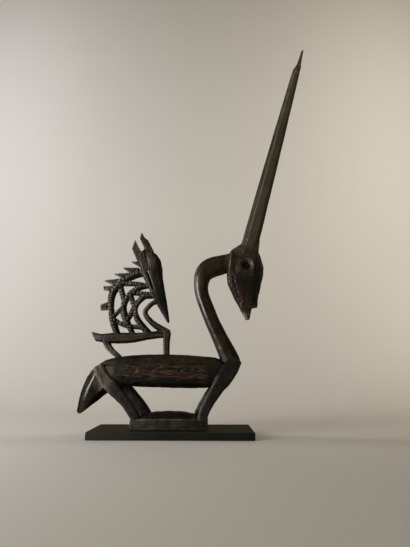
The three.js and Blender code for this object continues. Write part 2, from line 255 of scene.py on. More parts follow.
def makeHorn(side):
    # drawn upright about its own middle line, x across it towards the front, then leaned
    h = hornPair
    middle = side * (h["slot"] + h["breadth"][0]) / 2
    depth, breadth = hornSize(0)
    bpy.ops.object.select_all(action="DESELECT")
    bpy.ops.mesh.primitive_plane_add(size=1)
    horn = bpy.context.active_object
    bpy.ops.object.mode_set(mode="EDIT")
    bpy.ops.transform.resize(value=(depth * mm, breadth * mm, 1))
    bpy.ops.transform.translate(value=(0, middle * mm, -h["root"] * mm))
    rear, front, inner = h["chamfers"]

    def outward(co):
        return (co.y - middle) * side

    corners = (
        (rear, lambda co: outward(co) > breadth / 3 and co.x < -depth / 3),
        (front, lambda co: outward(co) > breadth / 3 and co.x > depth / 3),
        (inner, lambda co: outward(co) < -breadth / 3),
    )
    for width, test in corners:
        selectPlaces(horn, test)
        bpy.ops.mesh.bevel(offset=width * mm, affect="VERTICES", clamp_overlap=False)
    bpy.ops.mesh.select_all(action="SELECT")
    bpy.ops.mesh.extrude_region_move(TRANSFORM_OT_translate={"value": (0, 0, h["root"] * mm)})
    for step in range(1, h["steps"] + 1):
        before = hornSize((step - 1) / h["steps"])
        after = hornSize(step / h["steps"])
        rise = h["length"] / h["steps"] * mm
        bpy.ops.mesh.extrude_region_move(TRANSFORM_OT_translate={"value": (0, 0, rise)})
        bpy.ops.transform.resize(
            value=(after[0] / before[0], after[1] / before[1], 1),
            center_override=(0, middle * mm, step * rise),
        )
    underTop = h["length"] * (1 - 0.5 / h["steps"])
    for way, slant in zip((-1, 1), h["topSlants"]):
        selectPlaces(horn, lambda co: co.z > underTop and co.x * way > h["topLevel"])
        bpy.ops.transform.translate(value=(0, 0, way * slant * mm))
    bpy.ops.object.mode_set(mode="OBJECT")

    start, stop = h["spike"]
    bpy.ops.mesh.primitive_cone_add(
        vertices=h["spikeSides"],
        radius1=h["spikeRadius"][0] * mm,
        radius2=h["spikeRadius"][1] * mm,
        depth=(stop - start) * mm,
        location=(h["spikeShift"] * mm, middle * mm, (start + stop) / 2 * mm),
    )
    horn.select_set(True)
    bpy.context.view_layer.objects.active = horn
    bpy.ops.object.join()
    bpy.ops.object.mode_set(mode="EDIT")
    bpy.ops.mesh.select_all(action="SELECT")
    bpy.ops.mesh.normals_make_consistent(inside=False)
    bpy.ops.object.mode_set(mode="OBJECT")
    horn.rotation_euler = (0, math.radians(h["lean"]), 0)
    horn.location = (h["foot"][0] * mm, 0, h["foot"][1] * mm)
    bpy.ops.object.transform_apply(location=True, rotation=True, scale=True)
    return horn


# The carving: a copy of the CAD solid with these horns, remeshed fine enough to be tooled
carving = {
    "weld": 0.005,               # mm, as all sizes here
    "voxel": 0.8,
    "smoothPasses": 40,
    "tailPasses": 110,
    "neckHalf": 20.5,            # half the neck's breadth at its foot
    "legFadeX": (82, 96),        # where the front legs thin out
    "legFadeZ": (110, 144),
    "swell": 1.3,                # the rounding and the cuts take about this much off
    "wander": (45, 0.9, 0.5),    # size and depth of the marks, and the small antelope's share
    "adze": (15, 1.1, 0.2),
    "knife": (4.5, 0.5, 0.9),
    "knifeOnly": 392,            # above this, on the horns, the knife marks are at full depth
}

# How strongly each part is rounded, from 0 to 1
rounding = {
    "other": 0.12,
    "log": 0.6,
    "tail": 0.7,
    "head": 0.3,
    "muzzle": 0.05,
    "neck": 0.9,
    "fawn": 0.03,
    "horns": 0.05,
    "crown": 0.25,
}

# Where the parts of the carving lie, in millimetres. The fawn is the small antelope and the log
# is the large one's body.
levels = {
    "fawnFeet": 160.5,
    "fawnFront": 20,
    "fawnBack": 197,
    "baseTop": 46,
    "logTop": 158,
    "logFront": 96,
    "logHalf": (24, 26.5),       # the half breadth over which the rounding stops
    "logRounded": (-120, 86),    # the x and z that it starts from
    "logPolished": (-115, 92),
    "tailRoot": -150,
    "tailFoot": (108, 118),
    "tailPolished": 130,
    "neckFoot": 150,
    "neckTop": (352, 362),
    "headRear": 108,
    "headFoot": (200, 210),
    "muzzleTop": 250,
    "crown": (386, 408),
    "hornFoot": 384,
    "hornCrisp": 410,
}


def copyOfNode(nodeName, pieceName):
    selectOnly(frame["nodes"][nodeName])
    bpy.ops.object.duplicate()
    piece = bpy.context.active_object
    piece.name = pieceName
    piece.data.name = pieceName
    piece.parent = None
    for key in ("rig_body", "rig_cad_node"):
        del piece[key]
    piece.data.materials.clear()
    bpy.ops.object.mode_set(mode="EDIT")
    bpy.ops.mesh.select_all(action="SELECT")
    bpy.ops.mesh.remove_doubles(threshold=carving["weld"] * mm)
    bpy.ops.object.mode_set(mode="OBJECT")
    return piece


def pointsOf(obj):
    points = np.empty(3 * len(obj.data.vertices), np.float32)
    obj.data.vertices.foreach_get("co", points)
    return points.reshape(-1, 3).T / mm


def normalsOf(obj):
    normals = np.empty(3 * len(obj.data.vertices), np.float32)
    obj.data.vertex_normals.foreach_get("vector", normals)
    return normals.reshape(-1, 3).T


def weightGroup(obj, name, weights, steps=20):
    group = obj.vertex_groups.new(name=name)
    share = np.round(np.clip(weights, 0, 1) * steps).astype(int)
    for step in range(1, steps + 1):
        group.add(np.nonzero(share == step)[0].tolist(), step / steps, "REPLACE")


def ramp(values, start, end):
    return np.clip((values - start) / (end - start), 0, 1)


def band(values, start, end, soft):
    # 1 between start and end, and fading over the soft width outside them
    return ramp(values, start - soft, start) * (1 - ramp(values, end, end + soft))


def ridges(phase):
    # 0 at each whole number and 1 half way between
    return 1 - np.abs(2 * (phase % 1) - 1)


def onFawn(x, z):
    return (z > levels["fawnFeet"]) & (x < levels["fawnFront"])


def onHead(x):
    return ramp(x, levels["headRear"] - 3, levels["headRear"] + 3)


def onNeck(x, z, rise, front):
    # fades in over the rise above the neck's foot, and out towards the face
    foot = levels["neckFoot"]
    return ramp(z, foot + rise[0], foot + rise[1]) * (1 - ramp(x, *front))


def onLog(x, z, rear, bottom):
    return band(z, bottom, levels["logTop"], 4) * band(x, rear, levels["logFront"], 10)


def onTail(x, z, fade, top):
    root = levels["tailRoot"]
    return (1 - ramp(x, root + fade[0], root + fade[1])) * (1 - ramp(z, *top))


def roundingWeights(x, y, z):
    # the neck, the tail and the log are rounded most, and what has crisp edges only a little
    r = rounding
    head = onHead(x) * ramp(z, *levels["headFoot"])
    neck = ramp(z, levels["neckFoot"] - 8, levels["neckFoot"] + 8) * (1 - head)
    log = onLog(x, z, *levels["logRounded"]) * (1 - ramp(np.abs(y), *levels["logHalf"]))
    tail = onTail(x, z, (-8, 2), levels["tailFoot"])
    weights = np.full_like(x, r["other"])
    for place, name in ((log, "log"), (tail, "tail"), (head, "head")):
        weights = np.maximum(weights, r[name] * place)
    weights[(x > levels["headRear"]) & (z < levels["muzzleTop"])] = r["muzzle"]
    weights = np.maximum(weights, r["neck"] * neck)
    weights[onFawn(x, z)] = r["fawn"]
    weights[z > levels["hornCrisp"]] = r["horns"]
    crown = band(z, *levels["crown"], 6) * (x > levels["fawnFront"])
    return np.maximum(weights, r["crown"] * crown)


def alongLine(points, x, z):
    # distance from each vertex to a line of points, how far along the line it lies, and how far
    # on the line's inner side, which is its right and lower one
    best = np.full_like(x, 1e9)
    place = np.zeros_like(x)
    inner = np.zeros_like(x)
    gone = 0
    for (ax, az), (bx, bz) in zip(points, points[1:]):
        length = math.hypot(bx - ax, bz - az)
        t = np.clip(((x - ax) * (bx - ax) + (z - az) * (bz - az)) / length ** 2, 0, 1)
        dx, dz = x - ax - t * (bx - ax), z - az - t * (bz - az)
        away = np.hypot(dx, dz)
        nearer = away < best
        place = np.where(nearer, gone + t * length, place)
        inner = np.where(nearer, away * np.sign(0.8 * dx - 0.6 * dz), inner)
        best = np.minimum(best, away)
        gone += length
    return best, place, inner


# Cut work, in millimetres in the side view; both sides of the carving have it
hornCuts = {
    "start": -13,                # below the foot, so the first cuts run onto the head
    "stop": 452,
    "pitch": 4.5,                # square to the cuts
    "slants": (43, 62),          # degrees from straight across, at the foot and from turned up
    "turned": 60,
    "depths": (2.8, 2.1),
    "strip": (-0.17, 0.36),      # share of the horn's depth from its middle line
    "nickPitch": 9,
    "nickReach": (2, 62),
    "nickStrip": (-0.43, -0.24),
    "nickDepth": 1.6,
    "outerSide": (11.5, 13.5),   # only the outer sides of the pair are cut
}
headCuts = {
    "pits": [                    # x, z, radius, depth
        (132.5, 319, 2, 0.8), (138.6, 316.2, 2.4, 0.9), (146, 316.2, 2.1, 0.8),
        (151.8, 315.6, 2.5, 1), (158.8, 318.6, 2.2, 0.8), (164.4, 321.6, 1.8, 0.6),
        (141.6, 308.4, 2.1, 0.6), (148.6, 306.2, 2.3, 0.6), (157.2, 309.2, 2, 0.6),
        (150.6, 229.5, 2.2, 4),
    ],
    "beadLines": [
        [(112, 318), (113, 304), (116.5, 291), (122.5, 278), (129.5, 264), (134, 254)],
        [(119.5, 312), (122, 299), (125.5, 286), (130, 272), (134.5, 260)],
    ],
    "beadPitch": 7,
    "beadWidth": 3,
    "beadDepth": 1.6,
    "eye": (149.6, 335.2),
    "dish": (13.6, 0.5),         # radius, extra depth
    "pupil": (6.8, 2.1),
    "mouth": [(153, 253.6), (170, 254.6)],
    "mouthWidth": 1.5,
    "mouthDepth": 1,
    "lipX": (159.5, 178),
    "lipZ": (256.5, 275),
    "lipDepth": 0.9,
    "reach": (215, 362),         # nothing is cut below or above
}
maneCuts = {
    "scale": 0.8733,             # the lines are in the carving's own drawing units
    "foot": 12.8,
    "lines": [
        [(-70, 357), (-95, 352), (-127, 335), (-150, 307), (-152, 272), (-146, 241), (-132, 203)],
        [(-60, 324), (-86, 319), (-112, 299), (-123, 272), (-116, 243), (-93, 202)],
        [(-52, 300), (-75, 297), (-93, 272), (-89, 243), (-56, 205)],
        [(-38, 288), (-57, 278), (-71, 258), (-53, 234), (-17, 211)],
        [(-130, 328), (-110, 328), (-93, 327), (-67, 322)],
        [(-132, 333), (-130, 313), (-118, 280)],
        [(-119, 277), (-134, 261), (-147, 245)],
        [(-146, 243), (-129, 233), (-108, 225), (-86, 225), (-66, 218)],
        [(-103, 305), (-80, 304), (-55, 302)],
        [(-108, 305), (-103, 289), (-94, 270)],
        [(-95, 281), (-102, 260), (-117, 230)],
    ],
    "headEdge": [                # z and x of the neck's rear edge, where the strands stop
        (218, -15), (236, -26), (263, -42), (290, -56),
        (314, -68), (331, -73), (350, -81), (363, -82),
    ],
    "areaX": (-180, -10),
    "areaZ": (190, 345),
    "legFade": (193, 199),
    "slopes": (0.25, 0.85),      # how a strand falls off from its middle line, out and in
    "outerReach": 9,
    "deepest": 5.2,
    "halfBreadth": 9.6,
    # painted shade on each strand's inner side, ramped
    "sootAndShadeLevel": (-1.2, 2.6),        # from the middle line to the inner side
    "pitch": 6.3,                # the notches' own, from which they stray as cut by eye
    "strays": ((1.5, 5.3), (0.8, 2.1)),
    "depth": 1.8,
    "innerShare": 0.4,           # of that depth, on the inner side
    "notchReach": (6.5, 8.5),
    "plain": 3,                  # which strand has no notches
    "creases": [[(-68, 378), (-62, 354), (-58, 338)]],
    "creaseWidth": 3,
    "creaseDepth": 1.1,
}
tailShape = {
    "edge": [(-154, 125), (-167, 106), (-175, 86), (-180, 69), (-185, 47)],
    "reach": 13,                 # how far the rounding comes in from that edge
    "fall": 0.33,
}
logCuts = {
    "seed": 11,
    "chips": 170,
    "areaX": (-100, 62),
    "areaZ": (94, 136),
    "length": (6, 20),
    "height": (1.8, 5),
    "depth": (0.3, 0.6),         # share of the height
}


def hornFrame(x, z):
    # distance up the horns' middle line and square to it, and both as shares of the horn there
    lean = math.radians(hornPair["lean"])
    dx, dz = x - hornPair["foot"][0], z - hornPair["foot"][1]
    along = math.sin(lean) * dx + math.cos(lean) * dz
    across = math.cos(lean) * dx - math.sin(lean) * dz
    way = np.clip(along / hornPair["length"], 0, 1)
    return along, across, way, across / hornSize(way)[0]


def hornDepths(x, y, z):
    # slanting cuts up the outer side, which turn as they climb, and nicks on its rear edge
    c = hornCuts
    along, across, way, u = hornFrame(x, z)
    steps = np.linspace(c["start"] - 5, c["stop"] + 5, 200)
    turns = np.radians(np.interp(steps, (0, c["turned"]), c["slants"]))
    rise = np.cumsum(np.cos(turns)) * (steps[1] - steps[0])
    lift = np.interp(along, steps, rise) - across * np.sin(np.interp(along, steps, turns))
    cuts = np.minimum(1.25 * ridges(lift / c["pitch"]), 1)
    cuts = cuts * band(u, *c["strip"], 0.05) * band(along, c["start"], c["stop"], 3)
    cuts = cuts * between(c["depths"], way)
    nicks = ridges((along + across * 1.1) / c["nickPitch"]) * 2 - 1
    nicks = np.clip(nicks, 0, 1) * band(u, *c["nickStrip"], 0.04)
    nicks = nicks * band(along, *c["nickReach"], 4)
    return ramp(np.abs(y), *c["outerSide"]) * np.maximum(cuts, nicks * c["nickDepth"])


def groove(away, width, crest):
    # deepest on the line, and gone a little past its width
    return np.clip(crest - away / width, 0, 1)


def headDepths(x, y, z):
    # pits and beads on the cheeks, the mouth's slit and lip, the eyes' dishes and pupils
    c = headCuts
    depths = np.zeros_like(x)
    for px, pz, radius, deep in c["pits"]:
        pit = groove(np.hypot(x - px, z - pz), radius, 1.25)
        depths = np.maximum(depths, deep * pit)
    for line in c["beadLines"]:
        away, place, _ = alongLine(line, x, z)
        beads = ridges(place / c["beadPitch"] + 0.2 * np.sin(place / 3.1))
        depths = np.maximum(depths, c["beadDepth"] * (beads * groove(away, c["beadWidth"], 1.3)))
    away, _, _ = alongLine(c["mouth"], x, z)
    depths = np.maximum(depths, c["mouthDepth"] * groove(away, c["mouthWidth"], 1.4))
    lip = c["lipDepth"] * band(x, *c["lipX"], 1) * band(z, *c["lipZ"], 1.2)
    depths = np.maximum(depths, lip)
    fromEye = np.hypot(x - c["eye"][0], z - c["eye"][1])
    (dish, dishDepth), (pupil, pupilDepth) = c["dish"], c["pupil"]
    depths = depths + dishDepth * (1 - ramp(fromEye, dish - 1.2, dish))
    depths = depths + pupilDepth * (1 - ramp(fromEye, pupil - 1, pupil + 0.6))
    low, high = c["reach"]
    sideFace = ramp(np.abs(y), 3, 4)
    return depths * sideFace * (x > levels["headRear"]) * (z > low) * (z < high)


def maneDepths(x, y, z, normals):
    # how far each strand falls off towards its edges, how deep the notches across it are, and
    # how much painted shade lies on its inner side, the one turned away from the light
    c = maneCuts
    falls, notches, shades = np.zeros_like(x), np.zeros_like(x), np.zeros_like(x)
    (rear, front), (low, high) = c["areaX"], c["areaZ"]
    near = np.nonzero((x > rear) & (x < front) & (z > low) & (z < high))[0]
    nearX, nearZ = x[near], z[near]
    best = np.full_like(nearX, 1e9)
    fall, notch, shade = np.zeros_like(nearX), np.zeros_like(nearX), np.zeros_like(nearX)
    for number, line in enumerate(c["lines"]):
        line = [(px * c["scale"], pz * c["scale"] + c["foot"]) for px, pz in line]
        away, place, inner = alongLine(line, nearX, nearZ)
        outerSlope = c["slopes"][0] * (away < c["outerReach"])
        slopes = np.where(inner > 0, c["slopes"][1], outerSlope)
        uneven = place
        for height, length in c["strays"]:
            uneven = uneven + height * np.sin(place / length)
        fall = np.where(away < best, np.minimum(away * slopes, c["deepest"]), fall)
        cut = ridges(uneven / c["pitch"]) * np.where(inner > 1, c["innerShare"], 1)
        notch = np.where(away < best, cut * (number != c["plain"]), notch)
        shade = np.where(away < best, ramp(inner, *c["sootAndShadeLevel"]), shade)
        best = np.minimum(best, away)
    edgeZ, edgeX = zip(*c["headEdge"])
    strands = 1 - ramp(nearX - np.interp(nearZ, edgeZ, edgeX), -3, 0)
    strands = strands * ramp(nearZ, *c["legFade"])
    outward = np.maximum(np.abs(normals[1]), 0.6 * normals[2] - 0.8 * normals[0])[near]
    falls[near] = fall * strands * np.minimum(np.abs(y[near]) / c["halfBreadth"], 1)
    notch = c["depth"] * notch * strands * (1 - ramp(best, *c["notchReach"]))
    notches[near] = notch * ramp(outward, 0.4, 0.7)
    shades[near] = shade * strands
    for line in c["creases"]:
        away, _, _ = alongLine(line, x, z)
        crease = c["creaseDepth"] * groove(away, c["creaseWidth"], 1.3)
        notches = np.maximum(notches, crease * (np.abs(normals[1]) > 0.3))
    return falls, notches, shades


def logDepths(x, y, z):
    # small chips of uneven size, each with a steep end and a shallow one
    c = logCuts
    dice = np.random.default_rng(c["seed"])
    depths = np.zeros_like(x)
    for count in range(c["chips"]):
        side = -1 if count % 2 else 1
        cx, cz = dice.uniform(*c["areaX"]), dice.uniform(*c["areaZ"])
        long, high, steep = (dice.uniform(*c[name]) for name in ("length", "height", "depth"))
        inBox = (np.abs(z - cz) < high) & (np.abs(x - cx) < long)
        near = np.nonzero((y * side > 5) & inBox)[0]
        along = (x[near] - cx) / long
        away = np.hypot(along, (z[near] - cz) / high)
        chip = np.clip(1.3 * (1 - away), 0, 1) * (0.6 + 0.4 * along)
        depths[near] = np.maximum(depths[near], steep * high * chip)
    return depths


def startCarving():
    # the CAD solid without its own horns, joined with the drawn ones and remeshed as one
    piece = copyOfNode("headdress", "carving")
    bpy.ops.object.mode_set(mode="EDIT")
    bpy.ops.mesh.select_all(action="SELECT")
    stub = (0, 0, hornPair["stubLevel"] * mm)
    bpy.ops.mesh.bisect(plane_co=stub, plane_no=(0, 0, 1), use_fill=True, clear_outer=True)
    bpy.ops.object.mode_set(mode="OBJECT")
    horns = [makeHorn(side) for side in (-1, 1)]
    selectOnly(piece)
    for horn in horns:
        horn.select_set(True)
    bpy.ops.object.join()
    applyModifier(piece, "REMESH", mode="VOXEL", voxel_size=carving["voxel"] * mm)

    # the remesh leaves a few closed crumbs inside: only what joins the highest point stays
    top = pointsOf(piece)[2].max()
    selectPlaces(piece, lambda co: co.z > top - 0.001)
    bpy.ops.mesh.select_linked()
    bpy.ops.mesh.select_all(action="INVERT")
    bpy.ops.mesh.delete(type="VERT")
    bpy.ops.object.mode_set(mode="OBJECT")
    print("carving remeshed:", len(piece.data.polygons), "faces")
    return piece


def roundCarving(piece):
    weightGroup(piece, "rounding", roundingWeights(*pointsOf(piece)))
    applyModifier(
        piece, "SMOOTH", factor=0.5, iterations=carving["smoothPasses"], vertex_group="rounding",
    )
    x, _, z = pointsOf(piece)
    weightGroup(piece, "tail", onTail(x, z, (-12, 0), (104, 116)))
    applyModifier(
        piece, "SMOOTH", factor=0.5, iterations=carving["tailPasses"], vertex_group="tail",
    )
    print("carving rounded")


def markCarving(piece):
    # swells it by what was and will be taken off, and lays the broad tool marks over it
    x, y, z = pointsOf(piece)
    fawn = onFawn(x, z)
    neck = onNeck(x, z, (0, 15), (100, 108)) * (1 - ramp(z, *levels["neckTop"]))
    tail = onTail(x, z, (-4, 6), levels["tailFoot"])
    swell = np.where(fawn, 0.4, np.clip(0.4 + 0.6 * neck + 0.5 * tail, 0, 1))
    weightGroup(piece, "swell", swell)
    applyModifier(
        piece, "DISPLACE", strength=carving["swell"] * mm, mid_level=0, vertex_group="swell",
    )
    horns = ramp(z, levels["hornFoot"] - 60, levels["hornFoot"] - 30)
    still = np.maximum(0.95 * onNeck(x, z, (-10, 20), (105, 111)), tail)
    marks = (
        ("wander", "CLOUDS", 1),
        ("adze", "VORONOI", (1 - horns) * (1 - still)),
        ("knife", "VORONOI", np.where(z > carving["knifeOnly"], 1, 0.5 * (1 - still))),
    )
    for name, kind, weights in marks:
        size, depth, fawnShare = carving[name]
        texture = bpy.data.textures.new(name, kind)
        texture.noise_scale = size * mm
        weightGroup(piece, name, np.where(fawn, fawnShare, weights))
        applyModifier(
            piece, "DISPLACE", texture=texture, texture_coords="LOCAL", strength=depth * mm,
            mid_level=0.5, vertex_group=name,
        )
    print("carving marked")


def makeCarving():
    piece = startCarving()
    roundCarving(piece)
    x, y, z = pointsOf(piece)
    normals = normalsOf(piece)
    markCarving(piece)

    # slopes: the mane's strands, the front legs that thin out upwards, the tail's edge
    falls, notches, shades = maneDepths(x, y, z, normals)
    proud = np.maximum(np.abs(y) - carving["neckHalf"], 0)
    falls += proud * ramp(z, *carving["legFadeZ"]) * ramp(x, *carving["legFadeX"])
    away, _, _ = alongLine(tailShape["edge"], x, z)
    inside = np.clip(tailShape["reach"] - away, 0, None)
    tail = onTail(x, z, (-4, 6), levels["tailFoot"])
    falls += tailShape["fall"] * inside ** 2 / tailShape["reach"] * tail
    deepest = float(falls.max())
    for side, name in ((-1, "nearSlopes"), (1, "farSlopes")):
        weightGroup(piece, name, falls * (y * side > 0) / deepest, steps=60)
        applyModifier(
            piece, "DISPLACE", direction="Y", strength=-side * deepest * mm, mid_level=0,
            vertex_group=name,
        )

    depths = np.maximum(hornDepths(x, y, z), headDepths(x, y, z))
    depths = np.maximum(depths, notches * onFawn(x, z))
    depths = np.maximum(depths, logDepths(x, y, z))
    deepest = float(depths.max())
    weightGroup(piece, "cuts", depths / deepest, steps=120)
    applyModifier(piece, "DISPLACE", strength=-deepest * mm, mid_level=0, vertex_group="cuts")
    piece.vertex_groups.clear()
    selectOnly(piece)
    bpy.ops.object.shade_smooth()
    print("carving tooled, deepest cut", round(deepest, 2), "mm")
    return piece, shades


def addMap(obj, name, values):
    layer = obj.data.attributes.new(name=name, type="FLOAT", domain="POINT")
    layer.data.foreach_set("value", np.ascontiguousarray(values, np.float32))


# Where handling, dust and soot have changed the surface, and where shade and highlight are painted:
# x, z, half width, half height, strength
finishSpots = {
    "worn": [
        (-66, 120, 40, 12, 0.8), (-12, 119, 42, 13, 1), (28, 114, 26, 9, 0.7),
        (147, 264, 9, 17, 1), (146, 250, 9, 11, 0.7), (120, 334, 10, 16, 0.4),
        (52, 316, 8, 18, 0.5), (80, 224, 7, 26, 0.6), (90, 168, 10, 24, 0.4),
        (58, 30, 18, 6, 0.5), (-6, 41, 26, 4, 0.7), (-62, 290, 12, 20, 0.3),
        (-5, 190, 22, 10, 0.35), (-104, 78, 8, 12, 0.5), (108, 342, 12, 8, 0.4),
        (-60, 250, 12, 24, 1), (-90, 186, 60, 9, 0.35), (-20, 172, 9, 22, 0.4),
        (149.6, 335.2, 9, 9, 1), (141, 290, 14, 26, 0.4), (-118, 164, 22, 14, 0.4),
    ],
    "dustAndHighlight": [
        (-30, 26, 70, 12, 0.2), (-134, 104, 28, 30, 0.65), (-142, 122, 26, 22, 0.7),
        (60, 50, 30, 30, 0.1), (-114, 270, 80, 84, 0.38), (-82, 368, 22, 50, 0.3),
        (-54, 342, 14, 36, 0.8), (150, 384, 30, 24, 0.6), (200, 560, 110, 330, 0.65),
        (258, 750, 60, 190, 0.85), (112, 346, 10, 18, 0.4), (108, 300, 8, 30, 0.4),
        (-110, 164, 60, 12, 0.4), (38, 300, 22, 60, 0.6), (146, 234, 10, 12, 0.5),
        # the two spots just left of the eyes, at x 130 and 134, are painted highlight on the
        # cheeks' lit planes
        (130, 328, 8, 13, 0.6), (134, 342, 7, 10, 0.5), (134, 366, 15, 16, 0.8),
    ],
    # soot, and painted shade: under the log's belly, on the base's top beneath the body, on the
    # eyes' dishes' left walls, on the nose's side facets and down the neck's right edge
    "sootAndShade": [
        (-10, 91, 125, 19, 1), (164, 265, 8, 14, 1), (96, 318, 24, 12, 0.8),
        (76, 290, 8, 34, 0.8), (-148, 72, 22, 22, 0.9), (170, 310, 12, 44, 0.7),
        (158, 300, 26, 22, 0.7), (-30, 262, 16, 40, 0.8), (110, 140, 34, 34, 0.5),
        (90, 96, 30, 40, 0.7), (-60, 66, 20, 34, 0.7), (-6, 43, 90, 9, 0.9),
        (140, 338, 6, 9, 0.9), (-80, 350, 8, 22, 0.8), (104, 128, 22, 26, 0.7),
        (-108, 90, 18, 24, 0.6),
    ],
}
finish = {
    "wearHeight": 0.3,           # mm proud of its surroundings where it is worn through
    "wearPasses": 14,
    "spotEdge": 1.6,             # how soon a spot is at full strength from its rim
    # painted shade on the small antelope's faces that turn away from the key light
    "turnedAwayShade": (0.15, 0.5),
    "rearEdge": (0.7, 0.36, 0.43),    # the horns' soot: strength, share of depth from and to
    # painted shade on the horns' front chamfers, which face away from the key light: strength,
    # share of depth from and to
    "frontEdgeShade": (0.65, 0.3, 0.38),
    "edgeStart": (0.1, 0.3),
    # painted highlight on the eyes' dishes: inner and outer radius and softness of the ring, then
    # its strength
    "eyeHighlightRing": (8.5, 12.5, 1.5),
    "eyeHighlight": 0.7,
}
polishLevels = {"neck": 1, "tail": 1, "log": 0.5, "head": 0.4, "other": 0.15}


def proudnessOf(piece):
    # how far the surface stands proud of a smoothed copy of itself
    normals = normalsOf(piece)
    selectOnly(piece)
    bpy.ops.object.duplicate()
    soft = bpy.context.active_object
    applyModifier(soft, "SMOOTH", factor=0.5, iterations=finish["wearPasses"])
    dx, dy, dz = pointsOf(piece) - pointsOf(soft)
    bpy.data.objects.remove(soft)
    proud = dx * normals[0] + dy * normals[1] + dz * normals[2]
    return np.clip(proud / finish["wearHeight"], -1, 1)


def addFinishMaps(piece, shades):
    f = finish
    addMap(piece, "proudness", proudnessOf(piece))
    x, y, z = pointsOf(piece)
    normals = normalsOf(piece)
    maps = {}
    for name, spots in finishSpots.items():
        total = np.zeros_like(x)
        for px, pz, wide, high, strength in spots:
            fade = 1 - np.hypot((x - px) / wide, (z - pz) / high)
            total = np.maximum(total, strength * np.clip(fade * f["spotEdge"], 0, 1))
        maps[name] = total
    # painted shade on the small antelope's faces turned right and down, away from the key light,
    # and on its strands' inner sides; soot on the horns' rear edges and painted shade on their
    # front edges
    fawn = onFawn(x, z)
    facing = 0.8 * normals[0] - 0.6 * normals[2]
    inner = np.maximum(ramp(facing, *f["turnedAwayShade"]), shades)
    _, _, way, u = hornFrame(x, z)
    rear, front = f["rearEdge"], f["frontEdgeShade"]
    rearSoot = rear[0] * ramp(-u, *rear[1:]) * ramp(way, *f["edgeStart"])
    edges = np.maximum(rearSoot, front[0] * ramp(u, *front[1:])) * (z > levels["hornFoot"])
    maps["sootAndShade"] = np.maximum(maps["sootAndShade"], np.where(fawn, inner, edges))
    # painted highlight on the right-hand inner wall of the eyes' dishes, where the key light falls,
    # laid into the dust map
    dx, dz = x - headCuts["eye"][0], z - headCuts["eye"][1]
    eyeHighlightBand = band(np.hypot(dx, dz), *f["eyeHighlightRing"]) * ramp(dx + 0.3 * dz, -6, 6)
    maps["dustAndHighlight"] = np.maximum(maps["dustAndHighlight"], f["eyeHighlight"] * eyeHighlightBand)
    for name, values in maps.items():
        addMap(piece, name, values)

    belowHorns = z < levels["hornFoot"]
    log = onLog(x, z, *levels["logPolished"])
    tail = 1 - ramp(x, levels["tailRoot"] - 5, levels["tailRoot"] + 8)
    places = {
        "log": log,
        "tail": tail * (z < levels["tailPolished"]),
        "head": onHead(x) * (z > levels["headFoot"][1]) * belowHorns,
        "neck": onNeck(x, z, (0, 20), (106, 112)) * belowHorns,
    }
    polish = np.full_like(x, polishLevels["other"])
    for name, place in places.items():
        polish = polish * (1 - place) + polishLevels[name] * place
    polish[fawn] = polishLevels["other"]
    addMap(piece, "polish", polish)
    # the grain runs along the log, the base block and the small antelope's body, and elsewhere up
    level = (z < levels["baseTop"]) | fawn & (z < levels["fawnBack"])
    addMap(piece, "lying", np.maximum(log, level))


def cutToBox(piece, name, planes):
    # a copy of the carving with only what lies on the kept side of each plane
    selectOnly(piece)
    bpy.ops.object.duplicate()
    part = bpy.context.active_object
    part.name = name
    part.data.name = name
    bpy.ops.object.mode_set(mode="EDIT")
    for place, normal in planes:
        bpy.ops.mesh.select_all(action="SELECT")
        bpy.ops.mesh.bisect(
            plane_co=[c * mm for c in place], plane_no=normal, use_fill=True, clear_inner=True,
        )
    bpy.ops.object.mode_set(mode="OBJECT")
    bpy.ops.object.shade_smooth_by_angle(angle=math.radians(70))
    return part


# Patinated wood: dense hardwood carved with adze and knife, then oiled and smoked until it is
# nearly black. It shows as a soft dark sheen, browner where handled and grey where dust lies.
patina = {
    "black": "#17120c",
    "brown": "#32271a",
    "olive": "#312c1a",
    "rust": "#361d10",
    "worn": "#4e2d18",
    "dustAndHighlight": "#857864",
    # the crests' pale: dust on the high places, and painted highlight where ridges catch the light
    "crest": "#c2b59b",
    "sootAndShade": "#060504",
    "cloudSize": 26,             # mm
    "stainSize": 60,
    "fleckSize": 5,
    "grainWidth": 2,
    "grainStretch": 0.07,
    "poreSize": 0.9,
    "poreDepth": 0.45,
    "matt": 0.6,                 # roughness
    "glossy": 0.24,
    "sheen": 0.35,
}


def paintLayers(tree, colours, first, layers):
    # each layer's colour over the ones before it, by its amount
    colour = hexColour(colours[first])
    for amount, name in layers:
        links = {0: amount, 6: colour, 7: hexColour(colours[name])}
        colour = addNode(tree, "ShaderNodeMix", links, 2, data_type="RGBA")
    return colour


